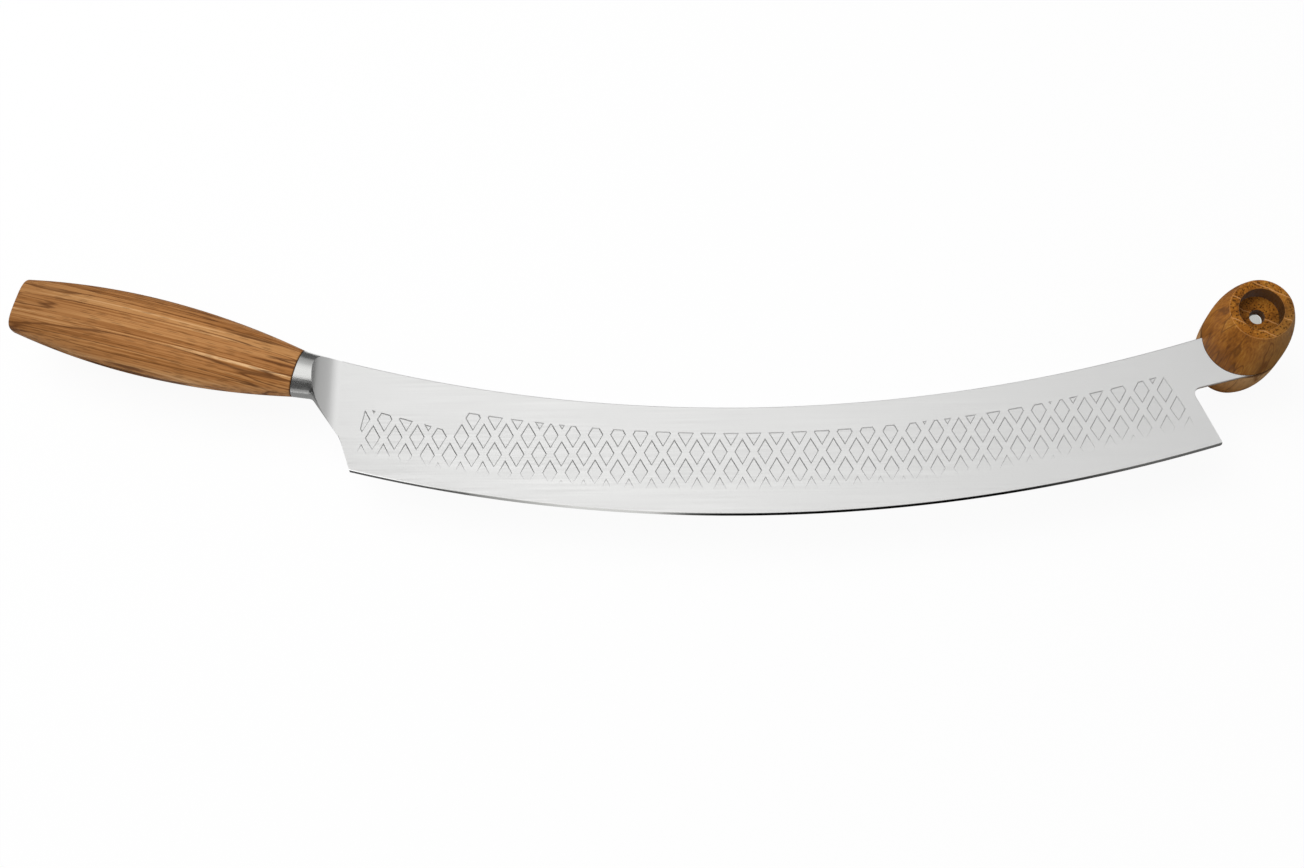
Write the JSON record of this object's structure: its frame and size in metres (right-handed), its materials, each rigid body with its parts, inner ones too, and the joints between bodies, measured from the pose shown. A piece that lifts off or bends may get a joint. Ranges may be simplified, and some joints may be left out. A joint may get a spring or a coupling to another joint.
{
  "type": "pizza and cheese knife",
  "caption": "Long rocking knife with a curved, diamond-pocketed blade, a raked oak handle behind a steel bolster, and a turned oak knob across its tip for two-handed cutting.",
  "frame": {"origin": "under the middle of the knife's box, level with the lower end of the knob", "axes": "+X along the blade from handle to knob, +Y from the cutting edge to the spine, +Z square to the blade's flank"},
  "size_m": [0.5766, 0.1168, 0.068],
  "materials": {
    "blade_steel": "satin, ground along the blade, with fine honed edge",
    "bolster_steel": "satin, polished round the grip",
    "tang_steel": "as rolled, hidden in the handle",
    "handle_oak": "oiled oak, grain along the handle",
    "knob_oak": "oiled oak, grain along the knob, end grain on both faces",
    "pin_steel": "bright turned end"
  },
  "bodies": {
    "root": {"blade": "blade_steel", "bolster": "bolster_steel", "tang": "tang_steel", "handle": "handle_oak", "knob_upper_half": "knob_oak", "knob_lower_half": "knob_oak", "knob_pin": "pin_steel"}
  },
  "joints": []
}
